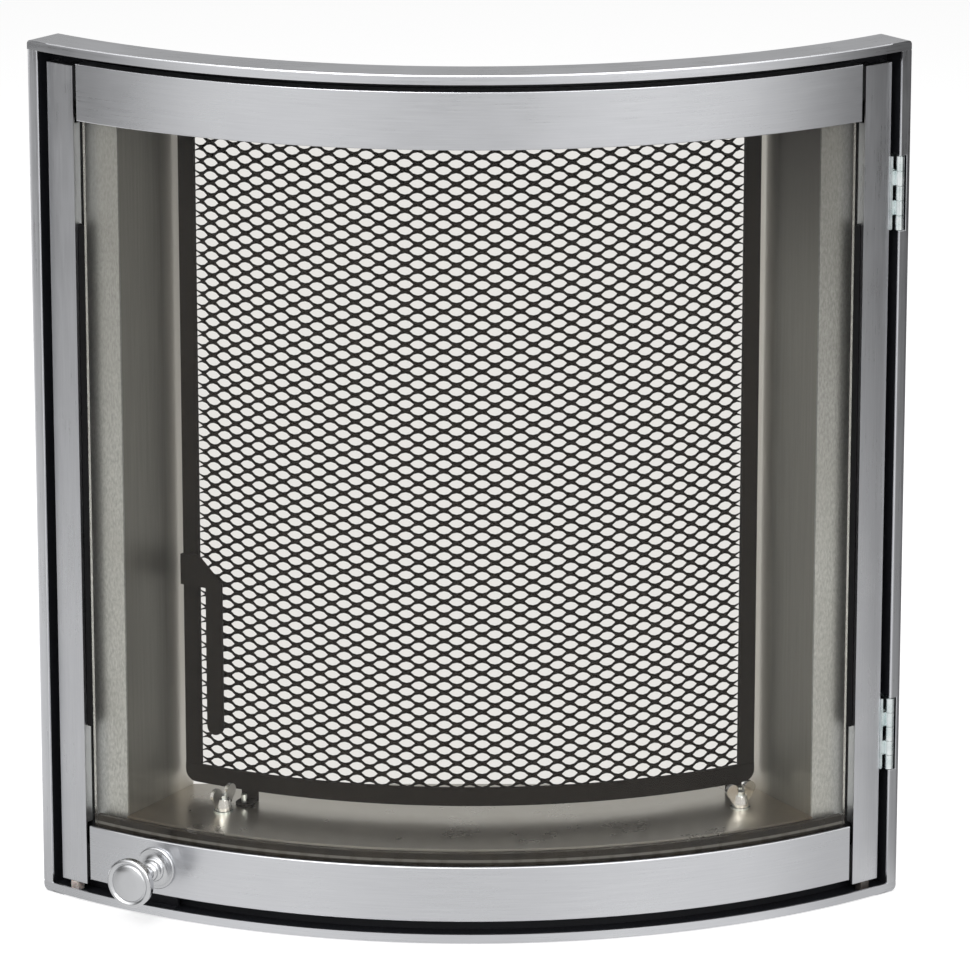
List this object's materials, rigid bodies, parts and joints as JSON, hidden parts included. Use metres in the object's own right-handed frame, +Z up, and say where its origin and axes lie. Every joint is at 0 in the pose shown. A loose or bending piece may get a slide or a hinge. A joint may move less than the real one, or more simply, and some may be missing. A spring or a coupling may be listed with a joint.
{
  "type": "fireplace glass door",
  "caption": "Bowed fireplace door: brushed steel surround, hinged glass door with turning latch knob, galvanised tunnel and a lift-out mesh spark guard.",
  "frame": {"origin": "centre of the part's bounding box in plan, at the underside of the surround", "axes": "+X to the viewer's right, -Y out of the front of the door, +Z up"},
  "size_m": [0.6, 0.156, 0.612],
  "materials": {
    "brushed_stainless": "long-grain brushed",
    "black_enamelled_steel": "satin black",
    "glass_fibre_tape": "woven black tape",
    "nylon": "natural",
    "galvanised_steel": "galvanised",
    "zinc_plated_steel": "clear passivated zinc",
    "ceramic_glass": "clear",
    "satin_nickel": "satin",
    "stove_black_steel": "matte heat-proof black",
    "bright_chrome": "bright"
  },
  "bodies": {
    "root": {"casing_top": "brushed_stainless", "casing_bottom": "brushed_stainless", "casing_left": "brushed_stainless", "casing_right": "brushed_stainless", "rebate_top": "black_enamelled_steel", "rebate_bottom": "black_enamelled_steel", "rebate_left": "black_enamelled_steel", "rebate_right": "black_enamelled_steel", "seal_top": "glass_fibre_tape", "seal_bottom": "glass_fibre_tape", "seal_left": "glass_fibre_tape", "seal_right": "glass_fibre_tape", "door_rest_pads": "nylon", "latch_keeper": "black_enamelled_steel", "tunnel_wall_left": "galvanised_steel", "tunnel_wall_right": "galvanised_steel", "tunnel_floor": "galvanised_steel", "tunnel_ceiling": "galvanised_steel", "guard_channel": "black_enamelled_steel", "guard_locating_pins": "zinc_plated_steel", "clamp_studs": "zinc_plated_steel", "clamp_washers": "zinc_plated_steel", "frame_hinge_leaves": "zinc_plated_steel", "hinge_pins": "zinc_plated_steel", "frame_hinge_rivets": "zinc_plated_steel"},
    "door": {"door_stile_left": "brushed_stainless", "door_stile_right": "brushed_stainless", "door_rail_top": "brushed_stainless", "door_rail_bottom": "brushed_stainless", "door_corner_plates": "black_enamelled_steel", "door_glass": "ceramic_glass", "glass_seal_tapes": "glass_fibre_tape", "glass_retainer_top": "black_enamelled_steel", "glass_retainer_bottom": "black_enamelled_steel", "retainer_screws": "zinc_plated_steel", "glass_edge_strip_left": "black_enamelled_steel", "glass_edge_strip_right": "black_enamelled_steel", "door_hinge_leaves": "zinc_plated_steel", "door_hinge_rivets": "zinc_plated_steel", "knob_rosette": "satin_nickel"},
    "latch": {"knob": "satin_nickel", "latch_spindle": "zinc_plated_steel", "latch_tongue": "zinc_plated_steel", "latch_collar": "zinc_plated_steel"},
    "spark_guard": {"guard_mesh_left": "stove_black_steel", "guard_mesh_mid_left": "stove_black_steel", "guard_mesh_mid_right": "stove_black_steel", "guard_mesh_right": "stove_black_steel", "guard_bar_left": "stove_black_steel", "guard_bar_right": "stove_black_steel", "guard_bar_top": "stove_black_steel", "guard_bar_bottom": "stove_black_steel", "guard_handle": "stove_black_steel", "guard_feet": "stove_black_steel"},
    "left_nut": {"wing_nut_left": "bright_chrome"},
    "right_nut": {"wing_nut_right": "bright_chrome"}
  },
  "joints": [
    {"name": "door_hinge", "type": "hinge", "parent": "root", "child": "door", "pos_m": [0.2935, 0.02965, 0.3115], "axis": [0, 0, 1], "range_deg": [0, 110]},
    {"name": "latch_turn", "type": "hinge", "parent": "door", "child": "latch", "pos_m": [-0.218, -0.01716, 0.0335], "axis": [0.4729, 0.8811, 0], "range_deg": [0, 90]},
    {"name": "guard_lift", "type": "slide", "parent": "root", "child": "spark_guard", "axis": [0, 0, 1], "range_m": [0, 0.012]},
    {"name": "left_nut_turn", "type": "hinge", "parent": "root", "child": "left_nut", "pos_m": [-0.17203, 0.01907, 0.07], "axis": [0, 0, 1], "continuous": true},
    {"name": "right_nut_turn", "type": "hinge", "parent": "root", "child": "right_nut", "pos_m": [0.18898, 0.02744, 0.07], "axis": [0, 0, 1], "continuous": true}
  ]
}
